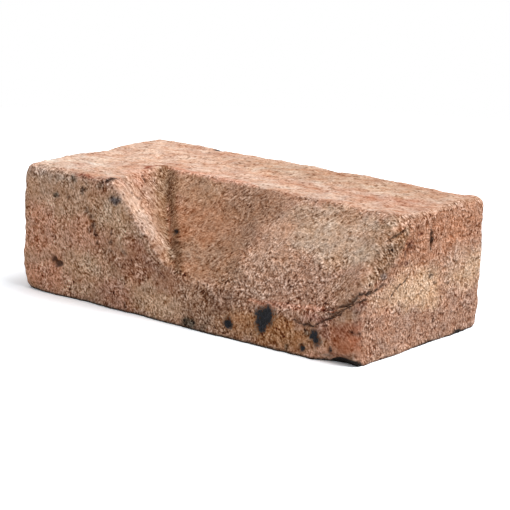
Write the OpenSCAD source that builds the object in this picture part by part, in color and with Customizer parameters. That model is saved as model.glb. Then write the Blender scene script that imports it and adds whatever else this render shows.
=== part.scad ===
// A solid handmade clay brick. The clot of clay ran short along one long edge of the mould, so the
// front face slopes back in a slumped hollow between a fold wall on the left and a lip underneath,
// and a lap seam runs round the right corner where the clay folded over without knitting together.
// The origin is at the middle of the bottom bed, with the slumped face towards -Y.

/* [Brick] */
// Length of the brick
brick_length = 215; // [200:1:250]
// Width of the brick from front to back
brick_width = 102.5; // [95:0.5:125]
// Height of the brick between its beds
brick_height = 65; // [58:0.5:80]

/* [Worn arrises] */
// Radius of the edges round the top bed
top_edge_radius = 3; // [1:0.25:5]
// Radius of the edges round the bottom bed
bottom_edge_radius = 2.5; // [1:0.25:5]
// Radius of the upright edges at the left end and at the back
upright_edge_radius = 2; // [1:0.25:5]
// Radius of the upright edge at the right of the front face
front_right_radius = 5; // [1:0.25:8]

/* [Slumped hollow] */
// Height of the lip that the hollow leaves along the bottom of the front face
lip_height = 19.5; // [14:0.5:26]
// Extra height of the lip beside the fold wall
lip_left_rise = 7; // [0:0.5:10]
// Length over which the lip climbs to the fold wall
lip_left_run = 38; // [20:1:60]
// Extra height of the lip at the right corner
lip_right_rise = 11; // [0:0.5:14]
// Length over which the lip climbs to the right corner
lip_right_run = 22; // [8:1:30]
// Set-back of the slope's top edge from the front face, at the fold wall
setback_left = 45; // [38:0.5:50]
// Set-back of the slope's top edge from the front face, at the right end
setback_right = 38.5; // [30:0.5:45]
// Rounding of the lip's crest beside the fold wall
lip_round_left = 9; // [3:0.5:12]
// Rounding of the lip's crest at the right end
lip_round_right = 1; // [0.5:0.25:1.5]
// Depth of the scoop in the left part of the slope
scoop_depth = 2; // [0:0.5:8]
// Crown of the pillow in the right part of the slope
pillow_crown = 4.5; // [0:0.5:8]
// Distance from the fold wall to where the scoop starts to turn into the pillow
scoop_length = 58; // [40:1:80]
// Length over which the scoop turns into the pillow
scoop_blend = 40; // [20:1:60]
// Radius of the roll where the slope turns into the right end
end_roll_radius = 9; // [4:0.5:14]

/* [Fold wall] */
// Distance from the left end to the top of the fold wall on the front face
wall_from_left = 59; // [45:1:75]
// Length that the fold wall takes up along the front face
wall_run = 46; // [35:1:60]
// Depth of the fold wall's foot below the top bed
wall_fall = 40; // [32:1:44]
// How much the fold wall is hollowed, as a share of its depth
wall_flare_share = 0.45; // [0.05:0.05:0.8]
// Turn of the fold wall in plan, in degrees
wall_turn_angle = 6; // [0:1:20]
// Depth of the crease between the fold wall and the slope
crease_depth = 3.5; // [0.5:0.25:5]
// Width of the steep side of the crease
crease_width = 11; // [3:0.5:12]

/* [Lap seam] */
// Widest opening of the seam
seam_width = 2.4; // [0.8:0.1:4]
// Deepest reach of the seam into the clay
seam_depth = 5; // [1:0.5:8]

/* [Foot chip] */
// Length of the chip along the bottom of the front face
chip_length = 27; // [15:1:45]
// Height of the chip on the front face
chip_rise = 3; // [1.5:0.25:5]
// Distance from the right end to the middle of the chip
chip_from_right = 9; // [5:1:40]

/* [Pits] */
// Radius of the largest pit
pit_radius = 2.4; // [1:0.1:4]

/* [Hidden] */

// How far every cut reaches past the face that it opens
overrun = 4;
// Segments in a quarter round of a worn edge
arc_steps = 5;
// Stations across the crease, along the slope and round the roll, and points up the slope
crease_stations = 4;
slope_stations = 22;
roll_stations = 6;
slope_points = 24;
// How far the slope runs on past its lip and past its top edge, as shares of its length
lip_overrun_share = 0.42;
slope_overrun_share = 0.12;
// Where the rounded lip leaves the front face, as a share of its rounding
lip_leave_share = 0.15;
// Points across the fold wall
wall_points = 12;

left_x = -brick_length / 2;
right_x = brick_length / 2;
front_y = -brick_width / 2;
back_y = brick_width / 2;
wall_x = left_x + wall_from_left;
scoop_end_x = wall_x + scoop_length;
foot_x = wall_x + wall_run;
roll_x = right_x - end_roll_radius;

// Run of the lap seam over the front face, as shares of half the length and of the height
seam_front_shares = [[0.73, 0.22], [0.80, 0.25], [0.86, 0.31], [0.93, 0.41]];
// Run of the lap seam over the right end, as shares of half the width and of the height
seam_end_shares = [[-0.80, 0.515], [-0.64, 0.53], [-0.50, 0.62], [-0.40, 0.72], [-0.30, 0.80]];
// Height of the seam at the corner, as a share of the height
seam_corner_share = 0.485;
// Opening of the seam at each of its points, from the front to the end, as shares of the widest
seam_opening_shares = [0.2, 0.5, 0.8, 1, 1, 0.9, 0.7, 0.5, 0.4, 0.2];

// Pits in the front face: place along half the length, up the height, and size, all as shares
front_pit_shares = [[-0.80, 0.26, 1], [-0.78, 0.81, 0.8], [-0.41, 0.865, 0.7], [0.29, 0.11, 0.6]];
// Pit in the right end: place along half the width, up the height, and size, all as shares
end_pit_shares = [[0.17, 0.49, 0.6]];
// How far a pit's centre stands out of its face, as a share of its radius
pit_proud_share = 0.35;

function limit(value) = min(1, max(0, value));
function ease(value) = limit(value) * limit(value) * (3 - 2 * limit(value));
function unit(vector) = vector / norm(vector);

// A quarter circle of points round a centre
function quarter(centre, radius, start) = [
    for (k = [0:arc_steps]) centre + radius * [cos(start + 90 * k / arc_steps), sin(start + 90 * k / arc_steps)]
];

// A rectangle with rounded corners: the upper right one comes first, and they go on anticlockwise
function worn_outline(low, high, radii) = concat(
    quarter([high.x - radii[0], high.y - radii[0]], radii[0], 0),
    quarter([low.x + radii[1], high.y - radii[1]], radii[1], 90),
    quarter([low.x + radii[2], low.y + radii[2]], radii[2], 180),
    quarter([high.x - radii[3], low.y + radii[3]], radii[3], 270)
);

// Height of the lip's crest at a place along the brick
function lip_crest(x) = lip_height
    + lip_left_rise * pow(limit((foot_x + lip_left_run - x) / lip_left_run), 2)
    + lip_right_rise * ease((x - right_x + lip_right_run) / lip_right_run);

// Set-back of the slope's top edge at a place along the brick
function setback(x) = setback_left
    + (setback_right - setback_left) * limit((x - wall_x) / (right_x - wall_x));

// Rounding of the lip's crest at a place along the brick
function lip_round(x) = lip_round_right
    + (lip_round_left - lip_round_right) * ease((x - foot_x) / lip_left_run)
    * (1 - ease((x - foot_x - lip_left_run) / (roll_x - foot_x - lip_left_run)));

// How far across the fold wall a height lies, from 0 at the top bed to 1 at the wall's foot
function wall_share(z) =
    let (drop = limit((brick_height - z) / wall_fall), full = 1 + wall_flare_share)
    (full - sqrt(full * full - 4 * wall_flare_share * drop)) / (2 * wall_flare_share);

// Place along the brick where the fold wall meets the slope: rise runs from 0 at the lip to 1 at the top
function valley_x(rise) =
    let (lip = lip_crest(foot_x), z = lip + (brick_height - lip) * rise)
    wall_x + wall_run * wall_share(z) - setback_left * rise * tan(wall_turn_angle);

// Rise of the slope above a straight line: the scoop is below it and the pillow above it
function slope_bow(x) = (scoop_depth + pillow_crown) * ease((x - scoop_end_x) / scoop_blend) - scoop_depth;

// Place of a station along the brick: the first lies behind the fold wall, so that the wall alone closes
// the hollow, the next cross the crease, and the rest run along the slope and round the roll
function station_x(i, rise) =
    let (valley = valley_x(rise), crease_end = valley + crease_width, along = i - crease_stations)
    i == 0 ? valley - overrun
    : along < 0 ? valley + crease_width * i / crease_stations
    : along < slope_stations ? crease_end + (roll_x - crease_end) * along / slope_stations
    : roll_x + (end_roll_radius + overrun) * (along - slope_stations) / roll_stations;

// How far the roll has turned the slope into the clay at a place along the brick
function roll_sink(x) = end_roll_radius * (1 - sqrt(1 - pow(limit((x - roll_x) / end_roll_radius), 2)));

// How far the crease lies below the slope at a place along the brick
function crease_sink(x, rise) = crease_depth * (1 - ease((x - valley_x(rise)) / crease_width));

// A point of the slope: rise runs from 0 at the lip to 1 at the top bed, and the lip's crest is rounded
function slope_point(x, rise) =
    let (run = setback(x), climb = brick_height - lip_crest(x), inward = unit([climb, -run]))
    let (round_share = lip_round(x) / run)
    let (back = (rise + sqrt(rise * rise + round_share * round_share)) / 2 - lip_leave_share * round_share)
    let (sink = (roll_sink(x) + crease_sink(x, rise)) * ease(rise + rise))
    [
        x,
        front_y + run * back + sink * inward.x,
        lip_crest(x) + climb * rise + slope_bow(x) * sin(180 * limit(rise)) + sink * inward.y
    ];

// One section of the hollow: its outer corner, then the slope from the lip to the top bed
function slope_ring(i) = concat(
    [[
        station_x(i, 1),
        front_y - setback_left * slope_overrun_share - overrun,
        brick_height * (1 + slope_overrun_share) + overrun
    ]],
    [for (j = [0:slope_points])
        let (rise = (1 + lip_overrun_share + slope_overrun_share) * j / slope_points - lip_overrun_share)
        slope_point(station_x(i, rise), rise)]
);

// Two triangles between neighbouring points of two neighbouring rings
function ring_side(i, j, count) =
    let (a = i * count + j, b = i * count + (j + 1) % count, c = a + count, d = b + count)
    [[a, d, b], [a, c, d]];

// A closed body through a row of rings that all have the same number of points
module loft(rings) {
    count = len(rings[0]);
    last = len(rings) - 1;
    sides = [for (i = [0:last - 1]) for (j = [0:count - 1]) each ring_side(i, j, count)];
    near_cap = [for (j = [1:count - 2]) [0, j, j + 1]];
    far_cap = [for (j = [1:count - 2]) [last * count, last * count + j + 1, last * count + j]];
    polyhedron([for (ring = rings) each ring], concat(sides, near_cap, far_cap));
}

// The full block as the mould would leave it, with worn arrises
module moulded_block() {
    upright_radii = [upright_edge_radius, upright_edge_radius, upright_edge_radius, front_right_radius];
    bed_radii = [top_edge_radius, top_edge_radius, bottom_edge_radius, bottom_edge_radius];
    intersection() {
        linear_extrude(brick_height)
            polygon(worn_outline([left_x, front_y], [right_x, back_y], upright_radii));
        rotate([90, 0, 90])
            linear_extrude(brick_length, center = true)
                polygon(worn_outline([front_y, 0], [back_y, brick_height], bed_radii));
        rotate([90, 0, 0])
            linear_extrude(brick_width, center = true)
                polygon(worn_outline([left_x, 0], [right_x, brick_height], bed_radii));
    }
}

// The sloping side of the hollow, with its scoop, its pillow and its roll at the right end
module slope_cut() {
    loft([for (i = [0:crease_stations + slope_stations + roll_stations]) slope_ring(i)]);
}

// The open side of the fold wall: a hollowed profile drawn straight back and a little to the left
module wall_cut() {
    wall_profile = [
        for (k = [0:wall_points])
            let (u = (1 + slope_overrun_share) * k / wall_points - slope_overrun_share)
            [wall_run * u, brick_height - wall_fall * (u + wall_flare_share * u * (1 - u))]
    ];
    translate([wall_x, front_y, 0])
        rotate([90, 0, wall_turn_angle])
            translate([0, 0, -brick_width])
                linear_extrude(brick_width + setback_left)
                    polygon(concat(
                        wall_profile,
                        [[wall_run, 0], [brick_length, 0], [brick_length, wall_profile[0].y + overrun]]
                    ));
}

// A point of the seam: where it lies on the brick and which way the face there looks
seam_path = concat(
    [for (s = seam_front_shares) [[right_x * s[0], front_y, brick_height * s[1]], [0, -1, 0]]],
    [[[right_x, front_y, brick_height * seam_corner_share], unit([1, -1, 0])]],
    [for (s = seam_end_shares) [[right_x, back_y * s[0], brick_height * s[1]], [1, 0, 0]]]
);

// One wedge section of the seam, wide outside the face and sharp inside the clay
function seam_ring(k) =
    let (last = len(seam_path) - 1, here = seam_path[k][0], outward = seam_path[k][1])
    let (along = unit(seam_path[min(k + 1, last)][0] - seam_path[max(k - 1, 0)][0]))
    let (across = unit(cross(outward, along)), opening = seam_opening_shares[k])
    let (mouth = seam_width * opening * (1 + overrun / seam_depth) / 2)
    [
        here + overrun * outward + mouth * across,
        here + overrun * outward - mouth * across,
        here - seam_depth * opening * outward
    ];

module seam_cut() {
    loft([for (k = [0:len(seam_path) - 1]) seam_ring(k)]);
}

// A shell of clay broken off the bottom of the front face
module chip_cut() {
    chip_radius = (pow(chip_length / 2, 2) + pow(chip_rise, 2)) / (2 * chip_rise);
    translate([right_x - chip_from_right, front_y + chip_rise, chip_rise])
        rotate([-45, 0, 0])
            translate([0, 0, -chip_radius])
                sphere(chip_radius, $fn = 64);
}

module pits() {
    for (s = front_pit_shares)
        translate([
            right_x * s[0],
            front_y - pit_radius * s[2] * pit_proud_share,
            brick_height * s[1]
        ])
            sphere(pit_radius * s[2], $fn = 32);
    for (s = end_pit_shares)
        translate([
            right_x + pit_radius * s[2] * pit_proud_share,
            back_y * s[0],
            brick_height * s[1]
        ])
            sphere(pit_radius * s[2], $fn = 32);
}

// The fired brick
module brick() {
    color([0.67, 0.51, 0.42])
        difference() {
            moulded_block();
            intersection() {
                slope_cut();
                wall_cut();
            }
            seam_cut();
            chip_cut();
            pits();
        }
}

brick();
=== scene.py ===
import math

import bpy
import numpy as np
from mathutils import Matrix, Vector, noise


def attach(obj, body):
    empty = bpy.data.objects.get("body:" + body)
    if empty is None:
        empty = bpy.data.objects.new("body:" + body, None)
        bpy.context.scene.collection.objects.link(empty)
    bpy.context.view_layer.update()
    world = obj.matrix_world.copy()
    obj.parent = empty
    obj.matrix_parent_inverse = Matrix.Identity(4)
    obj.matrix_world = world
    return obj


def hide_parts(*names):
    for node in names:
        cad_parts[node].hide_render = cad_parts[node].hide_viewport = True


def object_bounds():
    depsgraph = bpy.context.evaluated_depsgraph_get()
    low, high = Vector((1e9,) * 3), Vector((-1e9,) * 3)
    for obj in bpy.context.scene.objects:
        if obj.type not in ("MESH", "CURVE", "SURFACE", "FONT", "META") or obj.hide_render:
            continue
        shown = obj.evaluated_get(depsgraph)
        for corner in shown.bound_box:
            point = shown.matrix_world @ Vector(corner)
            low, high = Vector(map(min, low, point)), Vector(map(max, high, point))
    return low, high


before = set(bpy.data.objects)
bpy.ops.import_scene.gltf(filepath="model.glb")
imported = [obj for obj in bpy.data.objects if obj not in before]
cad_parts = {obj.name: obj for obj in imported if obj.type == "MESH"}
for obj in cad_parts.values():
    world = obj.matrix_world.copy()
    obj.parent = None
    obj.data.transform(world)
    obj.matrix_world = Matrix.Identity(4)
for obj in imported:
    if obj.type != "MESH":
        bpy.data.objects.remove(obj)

CAD_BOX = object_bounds()
MM = 0.001
BOX_LOW, BOX_HIGH = np.array(CAD_BOX) / MM
X, Y, Z = range(3)

# Start of the noise that makes painted and carved edges wander, so that each run gives the same brick
WANDER_SEED = 5
noise.seed_set(WANDER_SEED)

# View of the photograph: the camera stands in front of the right corner and looks a little down
LOOK_AT = Vector((3.4, 1.7, 27.05)) * MM
VIEW_AZIMUTH = math.radians(39.456)
VIEW_PITCH = math.radians(13.38)
VIEW_ROLL = math.radians(1.3825)
VIEW_DISTANCE = 1150.2 * MM
VIEW_LENS = 160.5
VIEW_END = 50.0
SENSOR_WIDTH = 36.0

# Studio: a white floor, an even sky and one soft box high on the right
SKY_LEVEL = 0.56
FLOOR_RADIUS = 0.6
FLOOR_SIDES = 96
FLOOR_BOUNCE = (0.42, 0.42, 0.42, 1)
FLOOR_WHITE = (1.44, 1.5, 1.56, 1)
KEY_PLACE = Vector((0.9, 0.5, 1.72))
KEY_AIM = Vector((0, 0, 30)) * MM
KEY_SIZE = 1.8
KEY_POWER = 38.0

# Clay skin: the spacing of its mesh, how it is smoothed, and how far it is filled out again in millimetres
SKIN_VOXEL = 1.08 * MM
MERGE_DISTANCE = 1e-6
SMOOTHING = 0.5
SKIN_ROUNDS = 3
WEIGHT_STEPS = 20
FILL_OUT = 0.4

# Ridge of the fold, in millimetres or shares of its length: a fade is where an effect starts and is full
RIDGE_LINE = [
    (-49, -50, 65), (-42, -50, 57), (-31, -49, 45.5), (-20, -47, 36), (-10, -48, 30), (-2, -51, 25),
]
RIDGE_SHIFT = 3.2
RIDGE_SHIFT_FADE = (13, 3)
RIDGE_TOP_SHARE = 0.4
RIDGE_TOP_FADE = (0, 0.2)
RIDGE_END_FADE = (1, 0.45)
RIDGE_WEAR_FADE = (11.2, 3.2)
RIDGE_ROUNDS = 14
FOLD_FOOT = (-4, -51, 26)
FOLD_FOOT_FADE = (15.6, 3.6)
FOLD_FOOT_ROUNDS = 20

# Worn edges: how far the wear reaches in millimetres, and how it comes and goes along them
EDGE_WEAR_FADE = (5, 1)
EDGE_ROUNDS = 12
WEAR_LUMPS = 16
WEAR_MEAN = 0.1
WEAR_SWING = 0.9
LEFT_TOP_WEAR_FADE = (9.1, 2.1)
LEFT_TOP_START_FADE = (-78, -94)
LEFT_TOP_ROUNDS = 14

# Corners that are rubbed round: low (0) or high (1) side along each axis, reach in millimetres and rounds
ROUND_CORNERS = {
    "left_foot": ((0, 0, 0), 11, 40),
    "right_foot": ((1, 1, 0), 11, 30),
    "right_top": ((1, 1, 1), 7, 12),
    "back_top": ((0, 1, 1), 10, 24),
}
CORNER_FADE = (1.3, 0.3)

# Swells past the solid: the axis that each moves along, millimetres, and its fades along the axes
SWELLS = {
    "left_end": (X, -1.7, [(X, -92, -104), (Z, 0, 14), (Z, 56, 28)]),
    "left_top": (Z, 0.8, [(X, -40, -85), (Z, 45, 63), (Y, 10, -20)]),
    "back_top": (Z, 0.8, [(Z, 45, 63), (Y, 5, 30)]),
    "lip": (Y, -1.8, [(X, -45, 25), (Y, -38, -48), (Z, 26, 0)]),
    "lip_end": (Y, 0.81, [(X, -45, 25), (X, 88, 106), (Y, -38, -48), (Z, 26, 0)]),
}

# Turn of the end's foot: millimetres at its two corners, how far these lie from the middle, and its fades
END_TURN = 1.2
END_HALF_WIDTH = 51
END_TURN_FADES = [(X, 95, 105), (Z, 26, 0)]

# Painted shade along the floor, standing for the dark gap under the bottom edges, in millimetres: it is
# uneven, and the end has two thicker spots of it
FOOT_SHADE_HEIGHT = 1.5
FOOT_SHADE_LUMPS = [(11, 0.4), (4, 0.25)]
FOOT_SHADE_SHARES = (0.7, 1.3)
FOOT_SHADE_EDGE = 0.8
END_FOOT_FADE = (104, 107)
END_FOOT_SHADE_SHARE = 0.4
END_SHADE_SPOTS = [(32, 1.2), (7, 1.1)]
SHADE_SPOT_REACH = 6
FOOT_RIM_FADE = (6, 4)
RESTING_FADE = (1.4, 0.4)

# Bottom edges, which stand out a little, and the flake broken off the right front corner, whose dark break is
# painted shade, in millimetres
FOOT_FLARE = 1.5
FLARE_FADE = (3, 0)
FLARE_DEPTH = 4
LEFT_FOOT_FADE = (5, 15)
FLAKE_HEIGHT = 4.0
FLAKE_INSET = -0.7
FLAKE_EDGE = 1.0
FLAKE_LUMPS = 4
FLAKE_RAGGED = 1.2
FLAKE_LEFT_FADE = (89.5, 98.5)
FLAKE_RIGHT_FADE = (115, 106)
FLAKE_BACK_FADE = (-45.5, -47.5)

# Relief of the clay: the size of its lumps and their height, in millimetres
RELIEFS = {"slow_lumps": (24, 1.8), "waves": (9, 0.9), "crumbs": (3.2, 1.5)}

# Share of the crumbs' height on each face, and on the worn edges between the faces
CRUMBLING = {
    "front": 0.8, "left": 0.5, "back": 0.45, "end": 0.7, "wall": 1.0, "top": 0.5, "bottom": 0.5, "slope": 0.5,
}
EDGE_CRUMBLING = 0.62

# Wander of carved and painted edges: the size of each bend and its reach, in millimetres
WANDERS = {
    "cracks": [(4, 1.1), (1.6, 0.5)],
    "patches": [(9, 4.0), (3.5, 1.6)],
    "lines": [(3.5, 1.2), (1.4, 0.6)],
    "spots": [(3, 0.7)],
}

# Cracks: half width, depth, darkness of the shade painted in each, and the places that each runs through, in
# millimetres
CRACKS = [
    (0.9, 1.8, 0.85, [
        (84, -51, 16.2), (89, -51, 18.6), (92.2, -50.1, 20.8), (96, -50.6, 22.6), (102, -51.3, 25.2),
    ]),
    (0.8, 1.4, 0.65, [(84.5, -49.3, 22.1), (90, -48.9, 24.2), (94.8, -49.8, 25.6), (98.3, -50.4, 27.1)]),
    (1.4, 2.2, 1.0, [
        (95, -49.8, 25.6), (98.3, -50.4, 27.1), (103.9, -50.4, 30.4), (106.5, -49.2, 32.6),
        (107.5, -44, 33.9),
    ]),
    (0.8, 1.2, 0.8, [(107.5, -45, 33.9), (107.2, -36.8, 33.5), (107.2, -32, 34.6), (107.5, -29, 36)]),
    (0.7, 1.1, 0.85, [
        (91, -50.2, 22.5), (95.5, -50.7, 24.2), (101, -51.2, 25.8), (105.4, -50.3, 29.4), (107.2, -48, 30.6),
    ]),
    (0.7, 1.2, 0.8, [(105.4, -50.3, 29.4), (107.2, -48, 30.6), (107.5, -42, 31.2)]),
    (0.6, 1.2, 0.8, [(70, -51, 15.8), (74, -51, 15), (78, -51, 14.8)]),
    (1.0, 1.6, 0.9, [(76, -51, 14.8), (80, -51, 15), (83, -51, 15.2), (86, -51, 15.4)]),
    (0.6, 1.0, 0.8, [(89.5, -51, 16.4), (92.5, -51, 17.4)]),
    (0.8, 0.9, 0.8, [(103.9, -25.8, 54.6), (105.2, -22.2, 55.9), (105.8, -18.3, 57.3), (106.9, -11.9, 58.8)]),
    (0.5, 0.6, 0.6, [(103.6, -31.3, 50.2), (104.8, -29.1, 51.2)]),
    (1.0, 0.8, 0.45, [(107.5, -10.8, 53), (107.5, -12.6, 48.6), (107.5, -12.7, 45.8), (107.5, -12.9, 42.6)]),
    (0.6, 0.8, 0.9, [(107.5, -9, 38.4), (107.5, -14.4, 34.4), (107.5, -22.1, 30.5), (107.5, -25.4, 27.8)]),
    (0.7, 1.3, 1.0, [(107.5, 6.5, 57), (107.5, 7.1, 51.8), (107.5, 7.1, 46)]),
    (0.6, 1.0, 0.7, [(-50.8, -24.2, 64.2), (-49, -24, 62), (-47.3, -24.6, 60)]),
]
CRACK_LUMPS = 3
CRACK_RAGGED = 0.7
CRACK_WIDTHS = (0.7, 1.6)
CRACK_TIP = 0.35
TAPER_SLOPE = 5
LINE_DEPTH = 4
REFINED_NEAR = (2.4, 1.5)

# Iron spots and blow holes: middle and reach along the three axes, in millimetres
IRON_SPOTS = [
    ((53.8, -51, 14.4), (6.6, 8, 6.0)),
    ((53.0, -51, 10.2), (4.2, 8, 5.0)),
    ((32.4, -51, 7.3), (3.6, 6, 3.0)),
    ((85.2, -51, 11.4), (3.3, 6, 3.4)),
    ((86.8, -51, 9.2), (3.3, 6, 3.2)),
    ((78.4, -51, 4.4), (2.2, 6, 2.4)),
    ((94.6, -51, 6.4), (1.3, 6, 1.9)),
    ((-19.6, -33, 40.7), (2.2, 4, 1.5)),
    ((-60.5, 47.5, 65), (4, 3, 3)),
]
IRON_DENT = 0.4
IRON_STEEPNESS = 2
BLOW_HOLES = [
    ((-86.2, -51, 18.6), (2.4, 6, 2.6)),
    ((-82.4, -51, 16.8), (3.6, 6, 2.2)),
    ((-85, -51, 16.6), (2.6, 6, 2.4)),
    ((-50, -48, 64), (2.2, 2.6, 3)),
    ((-19.6, -33, 40.7), (2.0, 4, 1.4)),
]
HOLE_DEPTH = 1.7
HOLE_STEEPNESS = 1.4

# Stains, and painted shade in small pits, blow holes and beside the cracks: clay, strength, middle and reach
# along the three axes, in millimetres
STAINS = [
    ("olive_stain", 0.75, (-72.7, -51, 62.5), (2.3, 6, 1.9)),
    ("olive_stain", 0.85, (-85.5, -51, 52.4), (2.0, 6, 1.9)),
    ("olive_stain", 0.55, (-54.7, -51, 62), (2.4, 5, 2.4)),
    ("olive_stain", 0.6, (-78.5, -51, 62.2), (1.6, 5, 1.3)),
    ("blue_stain", 0.85, (-44, -51, 55.9), (3.1, 5, 2.7)),
    ("blue_stain", 0.6, (107.5, -30, 39.9), (5, 2.2, 2.4)),
    ("olive_stain", 0.6, (80.8, -51, 12.4), (2.2, 6, 1.6)),
    ("olive_stain", 0.7, (69.6, -51, 3), (1.6, 6, 2)),
    # painted shade in small pits and hollows
    ("pit_shade", 0.85, (-66, -51, 57), (1.1, 5, 2.6)),
    ("pit_shade", 0.75, (-58.4, -51, 41.2), (1.7, 5, 2.0)),
    ("pit_shade", 0.75, (-56.5, -51, 37.6), (1.5, 5, 2.6)),
    ("pit_shade", 0.45, (-61, -51, 38), (2.4, 5, 2.4)),
    ("pit_shade", 0.8, (-56, -51, 32.4), (1.1, 5, 1)),
    ("pit_shade", 0.8, (-46.6, -51, 34.3), (1.4, 5, 1)),
    ("pit_shade", 0.7, (-76.3, -51, 52.6), (1.4, 5, 1.2)),
    ("pit_shade", 0.7, (-35.4, -51, 3.4), (0.9, 5, 2.8)),
    ("pit_shade", 0.6, (-43.5, -41, 57.7), (1.2, 2, 1)),
    ("pit_shade", 0.75, (105.7, -50, 16.6), (2, 2, 1.5)),
    ("pit_shade", 0.8, (107.3, -47.6, 16), (2.5, 1.7, 1.3)),
    ("pit_shade", 0.6, (107.5, 21.5, 27.9), (5, 1.2, 1.1)),
    ("pit_shade", 0.4, (107.5, -0.8, 27.4), (5, 1.5, 1.4)),
    ("pit_shade", 0.6, (107.5, 10.8, 9.7), (5, 1.3, 1.2)),
    # red-brown painted shade in the crevice on the end
    ("red_brown_shade", 0.75, (107.5, -9.4, 52.3), (5, 3.6, 1.9)),
    ("red_brown_shade", 0.8, (107.5, -13, 48.5), (5, 1.7, 1.6)),
    ("red_brown_shade", 0.85, (107.5, -1.8, 55.3), (5, 2.8, 0.9)),
    ("red_brown_shade", 0.85, (107.5, -13, 43.2), (5, 1.7, 1.7)),
    ("red_brown_shade", 0.7, (107.5, -16.6, 43.5), (5, 1.4, 1.2)),
    ("red_brown_shade", 0.5, (107.5, -8.4, 49.4), (5, 3.4, 2.2)),
    # painted shade along the crack high on the end
    ("pit_shade", 0.9, (107.5, 6.5, 55.5), (5, 0.8, 1.4)),
    ("pit_shade", 0.9, (107.5, 7.2, 51.4), (5, 1.2, 1.2)),
    ("pit_shade", 0.9, (107.5, 7.1, 47.6), (5, 0.9, 1.4)),
    ("pit_shade", 0.4, (106.5, -22.9, 52.6), (3, 3, 2)),
    ("pit_shade", 0.45, (107, -48.3, 26.1), (3, 2.4, 1.8)),
    ("pit_shade", 0.4, (107.5, -45.6, 28.6), (3, 2.4, 1.2)),
    ("pit_shade", 0.7, (107.5, 7.6, 33.4), (5, 1.7, 1.5)),
    ("pit_shade", 0.6, (107.5, 10.2, 29.6), (5, 1.2, 0.9)),
    ("pit_shade", 0.6, (-62.8, -51, 48), (1.6, 5, 2.0)),
    ("pit_shade", 0.6, (-60.3, -51, 45.2), (1.6, 5, 1.8)),
    ("pit_shade", 0.8, (-45.9, -51, 38.8), (0.9, 5, 2.0)),
    ("pit_shade", 0.6, (-45.9, -51, 29.6), (1.5, 5, 1.0)),
    ("pit_shade", 0.6, (-37.3, -51, 30.1), (1.8, 5, 1.4)),
    ("pit_shade", 0.8, (-65.3, -51, 58.4), (1.4, 5, 1.1)),
    ("pit_shade", 0.5, (-41.6, -36.4, 55.1), (1.6, 3, 1.0)),
    ("pit_shade", 1.0, (-50, -48, 64.2), (2.8, 3.2, 3.6)),
    # painted shade under the seam and beside the cracks at the right front corner
    ("red_brown_shade", 0.3, (100.5, -51, 23.6), (4.5, 6, 2.2)),
    ("red_brown_shade", 0.5, (107.5, -44, 30), (5, 3, 1.8)),
    ("red_brown_shade", 0.3, (94.5, -51, 19.4), (3.6, 6, 1.5)),
    ("red_brown_shade", 0.5, (104.5, -51, 26.6), (2.6, 6, 1.6)),
    ("red_brown_shade", 0.5, (106.4, -49.3, 28.6), (3.4, 3.6, 2.4)),
    ("pit_shade", 0.35, (104, -51, 4.6), (4, 3, 1.6)),
    ("olive_stain", 0.95, (7.5, -52, 3), (5.5, 6, 2.8)),
    ("olive_stain", 0.5, (17.5, -51, 2.4), (3, 6, 1.8)),
]
STAIN_FADE = (1.3, 0.6)

# Creases, worn rims and painted shade or highlight along lines: clay, half width, strength and the places
# that each runs through, in millimetres
CREASES = [
    ("crease_red", 1.0, 0.9, [(-54.5, -19, 65.5), (-57.5, -10.5, 65.5), (-54.5, -6.5, 65.5)]),
    # painted shade at the top of the fold's valley
    ("fold_brown", 5.5, 0.9, [(-54, -3, 64.5), (-47.5, -9, 60.5), (-43, -12, 57.5), (-34, -20, 51)]),
    ("rim_pink", 2.0, 0.6, [(-58, -2.7, 65), (-38, -4, 65), (-17.5, -7, 65), (5, -7.5, 65), (14, -8.8, 65)]),
    ("crease_red", 0.9, 0.6, [(-75, -49.6, 65), (-65, -49.6, 65), (-56, -49.4, 65)]),
    ("crease_red", 0.9, 0.7, [(-102.5, -5.2, 65), (-95, -5.6, 65), (-87, -5.8, 65)]),
    # pink rim along the top of the lip's roll: its own colour with a painted highlight
    ("rim_pink", 1.3, 0.75, [
        (42, -48.5, 19.6), (58, -48.7, 20.6), (69, -49, 21.7), (80, -49, 22.8), (95, -50.5, 25),
    ]),
    # painted shade on the front beside the ridge, on its shadow side
    ("plum", 3.2, 0.35, [(-35, -51, 41), (-28, -51, 35.5), (-20, -51, 29), (-12, -51, 23.5)]),
    # painted shade down the fold's valley, darker towards its foot
    ("fold_deep", 3.4, 0.45, [(-55, -2, 65), (-50, -7.5, 61.8), (-45.5, -12, 58), (-38, -17, 54)]),
    ("fold_deep", 2.4, 0.5, [
        (-34, -20, 51), (-20.2, -32.5, 41), (-12, -40.6, 34.4), (-5.7, -46.6, 29.9), (-1.5, -50.5, 26),
    ]),
    ("fold_deep", 2.6, 0.55, [(-16, -36.6, 37.6), (-9, -43.6, 32), (-5.7, -46.6, 29.9), (-1.5, -50.5, 26)]),
    # painted shade along the arris between the slope and the end
    ("olive_shade", 4.6, 0.8, [
        (106.5, -12, 59), (107, -19, 54), (107, -24.5, 50.4), (107.2, -29, 46.4), (107.5, -33, 42.3),
        (107.5, -39, 38.6),
    ]),
]
CREASE_TIP = 0.4
CREASE_FADE = (1.6, 0.6)

# Painted highlight along the ridge, on its side that faces the light: its line, reaches and edge in
# millimetres, and where it fades
HIGHLIGHT_BAND = [
    (-46, -45, 61), (-40, -45, 54), (-33, -44.5, 47), (-27, -44.7, 41.3), (-20, -45.2, 35.5), (-11, -49, 30),
]
HIGHLIGHT_REACHES = (11, 7)
HIGHLIGHT_EDGE = 7
HIGHLIGHT_TOP_SHARE = 0.3
HIGHLIGHT_TOP_FADE = (0, 0.25)
HIGHLIGHT_END_FADE = (1, 0.5)
OVER_RIDGE_LIFT = 0.3
OVER_RIDGE_FADE = (0.02, 0.16)

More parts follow.
